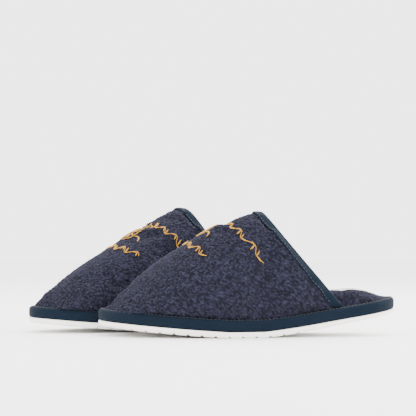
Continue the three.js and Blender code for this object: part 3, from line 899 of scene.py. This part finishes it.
def settle(side, points, from_toe, angle):
    """Moves points of the dome as its cloth lies: swollen, folded, with its own ridge, pulled back at the
    topline and rolled out at the foot."""
    start = vamp_inset
    share = np.clip((from_toe - start) / (topline(angle) - start), 0, 1) ** (1 / toe_crowding)
    rows, columns = slack[side].shape[:2]
    at_row = share * (rows - 1)
    at_column = angle / math.pi * (columns - 1)
    i = np.clip(at_row.astype(int), 0, rows - 2)
    j = np.clip(at_column.astype(int), 0, columns - 2)
    fi, fj = (at_row - i)[..., None], (at_column - j)[..., None]
    fi, fj = fi * fi * (3 - 2 * fi), fj * fj * (3 - 2 * fj)
    grid = slack[side]
    shift = ((grid[i, j] * (1 - fj) + grid[i, j + 1] * fj) * (1 - fi)
             + (grid[i + 1, j] * (1 - fj) + grid[i + 1, j + 1] * fj) * fi)
    centre = points * (0, 1, 0) + (0, 0, 30 * mm)
    outwards = unit(points - centre)
    edge = np.clip(np.sin(angle), 0, 1) ** 0.5
    edge = edge * smooth_step(share, 0, 0.15) * (1 - smooth_step(share, 0.93, 1))
    shift = shift - outwards * (fold_depth(side, points, from_toe, angle) * edge)[..., None]
    shift = shift * smooth_step(from_toe - start, 0, toe_hold)[..., None]
    near_ridge = np.clip(np.sin(angle), 0, 1) ** 1.5 * smooth_step(share, 0, 0.06)
    for at, width, height in ridge_swells[side]:
        shift[..., 2] += height * np.exp(-((share - at) / width) ** 2) * near_ridge
    shift[..., 1] += pulled_back[side] * smooth_step(share, 0.3, 1.0) * near_ridge
    behind_toe = from_toe - start - vamp_thickness  # nought where the inner layers begin
    from_foot = np.minimum(np.minimum(angle, math.pi - angle) * dome_radius, behind_toe * 1.4)
    from_foot = np.clip(from_foot, 0, None) / foot_roll_at
    return points + shift + outwards * (foot_roll * from_foot * np.exp(1 - from_foot))[..., None]


def laid(side, depth, from_toe, angle):
    """Points at a depth below the face of the terry, as the upper lies."""
    return settle(side, dome(depth, from_toe, angle), from_toe, angle)


def upper_layer(side, depth, rows, columns, short=0.0):
    """The grid of a layer as it lies. short is the share of the upper that it stops short of its edges."""
    return laid(side, depth, *dome_grid(depth, rows, columns, short))


terry_thickness = 3 * mm


def vamp(side):
    rows, columns = 271, 301  # a few points to each loop of the pile
    face = upper_layer(side, 0, rows, columns)
    back = upper_layer(side, terry_thickness, 55, 61)
    share = np.linspace(0, 1, rows)[:, None]
    angle = np.linspace(0, math.pi, columns)[None, :]
    at_foot = np.minimum(angle, math.pi - angle) * 50 * mm
    fade = 1 - smooth_step(at_foot, 0, 0.5 * mm) * (1 - 0.75 * smooth_step(share, 0.975, 0.99))
    points, faces, heights = pile_slab(face, back, 5.0 if side == "left" else 17.0, fade, flip=True)
    made = piece(side, "vamp_terry", points, faces, terry, "terry", ["upper_terry"])
    give_pile(made, heights)


for side in sides:
    vamp(side)


def wadding_paint(w):
    fluff = w.speckle(2.5 * mm, 5, 0.7)
    return {"Base Color": fluff.mix((0.22, 0.22, 0.235), (0.14, 0.14, 0.15)), "Height": (fluff, 0.5 * mm)}


wadding_fleece = finish_of("wadding_fleece", wadding_paint, {"Roughness": 0.95, "Sheen Weight": 0.05})
wadding_depth, wadding_thickness = 3.6 * mm, 2.1 * mm
wadding_short = 0.03  # the share of the upper that it stops short of every seam, to keep them thin


def wadding(side):
    face = upper_layer(side, wadding_depth, 45, 61, wadding_short)
    back = upper_layer(side, wadding_depth + wadding_thickness, 45, 61, wadding_short)
    made = piece(side, "vamp_wadding", *plain_slab(face, back), wadding_fleece, "foam", ["upper_padding"])


for side in sides:
    wadding(side)


# The lining. Fine navy cloth inside the upper, smooth against the foot.
navy_lining, navy_lining_light = (0.010, 0.012, 0.024), (0.020, 0.023, 0.040)
lining_depth, lining_thickness = 6.3 * mm, 1.0 * mm


def lining_paint(w):
    weave = woven(w, 0.8 * mm)
    worn = w.speckle(18 * mm, 3, 0.6)
    return {
        "Base Color": (weave * 0.6 + worn * 0.4).mix(navy_lining, navy_lining_light),
        "Roughness": 0.8 + weave * 0.1,
        "Height": (weave + worn * 2, 0.16 * mm),
    }


lining_cloth = finish_of("lining_cloth", lining_paint, {"Sheen Weight": 0.03, "Specular IOR Level": 0.08})


def lining(side):
    rows, columns = 91, 121
    face = upper_layer(side, lining_depth, rows, columns)
    back = upper_layer(side, lining_depth + lining_thickness, rows, columns)
    points, faces = plain_slab(face, back)
    across = np.concatenate([np.zeros((rows, 1)), np.linalg.norm(np.diff(face, axis=1), axis=2).cumsum(1)], 1)
    across -= across[:, -1:] / 2
    cloth = np.stack([across, face[..., 1]], -1).reshape(-1, 2)
    made = piece(side, "vamp_lining", points, faces, lining_cloth, "lining", ["upper_lining"],
                 cloth=np.vstack([cloth, cloth]))


for side in sides:
    lining(side)


# The binding. The same navy tape as round the sole, folded over the edge of the upper and sewn through all
# its layers. It is pulled round the curve of the topline, so it lies close and is a little puffed.
binding_width = 8.0 * mm
binding_face, binding_inside = -1.4 * mm, 8.6 * mm  # depths of its two faces
binding_fold = 2.0 * mm  # how far its fold stands proud of the edge of the upper
binding_rows, binding_ends = 141, 0.012  # its ends stop that many radians short of the dome's foot
binding_hem_to_stitch = 1.3 * mm


def binding_section():
    """Depth and reach past the topline of the tape's outer line, from its hem outside to its hem inside."""
    middle, half = (binding_face + binding_inside) / 2, (binding_inside - binding_face) / 2
    turn = np.linspace(-math.pi / 2, math.pi / 2, 9)
    fold = np.stack([middle + half * np.sin(turn), binding_fold * np.cos(turn)], 1)
    hem = np.linspace(-binding_width, 0, 6)[:-1]
    puff = 0.35 * mm * np.sin(math.pi * (hem + binding_width) / binding_width)
    outside = np.stack([binding_face - puff, hem], 1)
    inside = np.stack([binding_inside + puff, hem], 1)[::-1]
    return np.vstack([outside, fold, inside])


def topline_binding(side):
    outer_line = binding_section()
    section = tape_section(outer_line)
    angle = np.linspace(binding_ends, math.pi - binding_ends, binding_rows)
    points = np.stack([laid(side, depth, topline(angle) + past, angle) for depth, past in section], 1)
    count = len(section)
    faces = quads(binding_rows, count, round_columns=True)
    half = count // 2
    for row, way_round in ((0, 1), ((binding_rows - 1) * count, -1)):
        faces += [[row + k, row + count - 1 - k, row + count - 2 - k, row + k + 1][::way_round]
                  for k in range(half - 1)]
    run = run_along(outer_line)
    along = run_along(points[:, half // 2])
    across = np.concatenate([run, run[::-1]])
    cloth = np.stack(np.broadcast_arrays(along[:, None], across[None, :]), -1)
    made = piece(side, "topline_tape", points, faces, tape_cloth, "tape", ["topline_binding"], cloth=cloth)


for side in sides:
    topline_binding(side)


def topline_stitches(side):
    angle = np.linspace(0.05, math.pi - 0.05, 160)
    at = topline(angle) - binding_width + binding_hem_to_stitch
    line = laid(side, binding_face - 0.25 * mm, at, angle)
    inner = laid(side, 0.01, at, angle)
    holes = evenly(line, stitch_length + stitch_gap)
    ups = unit(evenly(line, stitch_length + stitch_gap, line - inner))
    ahead = unit(np.roll(holes, -1, 0) - holes)[:-1]
    starts = holes[:-1]
    points, faces = threads(starts, starts + ahead * stitch_length, ups[:-1], stitch_radius, stitch_arch, 6)
    piece(side, "topline_stitches", points, faces, sewing_thread, "thread", ["topline_thread"])


for side in sides:
    topline_stitches(side)


# The embroidery. Satin stitch in glossy gold thread on the front of the upper: a vine with leaves below the
# topline, a round medallion in the middle and a shorter vine towards the toe, with a stiff backing behind
# them.
gold_thread_radius, gold_pitch = 0.24 * mm, 0.42 * mm
medallion_at = 104 * mm
stem_swing = 2.9 * mm
embroidery_lift = 0.75 * mm  # of the threads over the middle of the pile
satin_arch, satin_lean = 0.42 * mm, 0.18
ring_half_width, ring_half_length = 9.5 * mm, 11.5 * mm
backing_half_width, backing_half_length = 14 * mm, 18 * mm
ridge_run = 0.84  # how far from the toe a step along the sloping ridge goes


def gold_paint(w):
    strands = w.speckle(0.6 * mm, 2)
    shade = w.speckle(5 * mm, 2)
    base = (strands * 0.6 + shade * 0.4).mix((0.27, 0.125, 0.004), (0.50, 0.265, 0.020))
    return {"Base Color": base, "Roughness": 0.34 + strands * 0.2, "Height": (strands, 0.06 * mm)}


gold_thread = finish_of("gold_thread", gold_paint, {
    "Specular IOR Level": 0.4, "Anisotropic": 0.3,
})


def satin(centre, aside, up, widths):
    """Threads laid side by side across a line, slanting a little, as points and faces."""
    ahead = unit(np.gradient(centre, axis=0))
    half = widths[:, None] / 2
    across = aside * half + ahead * widths[:, None] * satin_lean
    return threads(centre - across, centre + across, up, gold_thread_radius, satin_arch)


def sewn(side, from_toe, angle, widths):
    """Satin stitch along a line on the upper. widths gives its width by the share of the way along it."""
    line = laid(side, -embroidery_lift, from_toe, angle)
    below = laid(side, 2 * mm - embroidery_lift, from_toe, angle)
    centre, up = evenly(line, gold_pitch), unit(evenly(line, gold_pitch, line - below))
    aside = unit(np.cross(unit(np.gradient(centre, axis=0)), up))
    return satin(centre, aside, up, widths(np.arange(len(centre)) * gold_pitch / run_along(line)[-1]))


def stem(width):
    return lambda share: np.full(share.shape, width)


def leaf(width):
    return lambda share: width * np.sin(math.pi * np.clip(share * 0.9 + 0.07, 0, 1)) ** 0.8 + 0.2 * mm


def gather(parts):
    """Several lots of points and faces as one."""
    points, faces, start = [], [], 0
    for part_points, part_faces in parts:
        points.append(part_points)
        faces += [[v + start for v in f] for f in part_faces]
        start += len(part_points)
    return np.vstack(points), faces


def vine(side, name, node, from_toe, reach, sweep, waves):
    """A waving stem across the ridge with a pair of leaves at each turn, swept back at its ends."""
    t = np.linspace(-1, 1, 60 * waves)
    swing = stem_swing * np.sin(math.pi * waves * (t + 1))
    parts = [sewn(side, from_toe + sweep * t ** 2 + swing, math.pi / 2 - reach * t, stem(0.8 * mm))]
    for k in range(2 * waves):
        at = -1 + (k + 0.5) / waves
        way = 1 if k % 2 else -1
        for lean, length, width in ((0.55, 5.0 * mm, 1.5 * mm), (-0.75, 3.6 * mm, 1.3 * mm)):
            s = np.linspace(0, 1, 24)
            root = from_toe + sweep * at ** 2 + stem_swing * math.sin(math.pi * waves * (at + 1))
            leaf_at = root + way * length * s * math.cos(lean)
            turn = math.pi / 2 - reach * at - lean * length * s / dome_radius
            parts.append(sewn(side, leaf_at, turn, leaf(width)))
    piece(side, name, *gather(parts), gold_thread, "gold_thread", [node])


def medallion(side):
    """An oval ring with a rosette of eight petals in it and a sprig on either side."""
    turn = np.linspace(0, 2 * math.pi, 160)

    def at(across, along):
        return medallion_at + along * ridge_run, math.pi / 2 - across / dome_radius

    parts = [sewn(side, *at(ring_half_width * np.cos(turn), ring_half_length * np.sin(turn)), stem(1.1 * mm))]
    for k in range(8):
        way = 2 * math.pi * (k + 0.5) / 8
        s = np.linspace(0.22, 0.80, 24)
        petal = at(ring_half_width * s * math.cos(way), ring_half_length * s * math.sin(way))
        parts.append(sewn(side, *petal, leaf(2.2 * mm)))
    for sign in (-1, 1):
        s = np.linspace(0, 1, 40)
        across = sign * (11.5 + 9 * s) * mm
        along = (3 * np.sin(math.pi * s) - 2) * mm
        parts.append(sewn(side, *at(across, along), leaf(1.8 * mm)))
    piece(side, "medallion", *gather(parts), gold_thread, "gold_thread", ["embroidery_crest"])


def backing_paint(w):
    fibres = w.speckle(1.1 * mm, 4, 0.7)
    return {"Base Color": fibres.mix((0.82, 0.82, 0.80), (0.66, 0.66, 0.64)), "Height": (fibres, 0.1 * mm)}


backing_cloth = finish_of("backing_cloth", backing_paint, {"Roughness": 0.9, "Sheen Weight": 0.1})


def backing(side):
    share, turns = oval(8, 32)
    from_toe = medallion_at + share * backing_half_length * np.sin(turns) * ridge_run
    angle = math.pi / 2 - share * backing_half_width * np.cos(turns) / dome_radius
    slab = oval_slab(*(laid(side, depth, from_toe, angle) for depth in (3.15 * mm, 3.5 * mm)))
    made = piece(side, "stitch_backing", *slab, backing_cloth, "backing", ["embroidery_backing"])


for side in sides:
    vine(side, "upper_vine", "upper_scroll", from_toe=121 * mm, reach=1.1, sweep=33 * mm, waves=8)
    medallion(side)
    vine(side, "lower_vine", "lower_scroll", from_toe=84 * mm, reach=0.8, sweep=17 * mm, waves=5)
    backing(side)
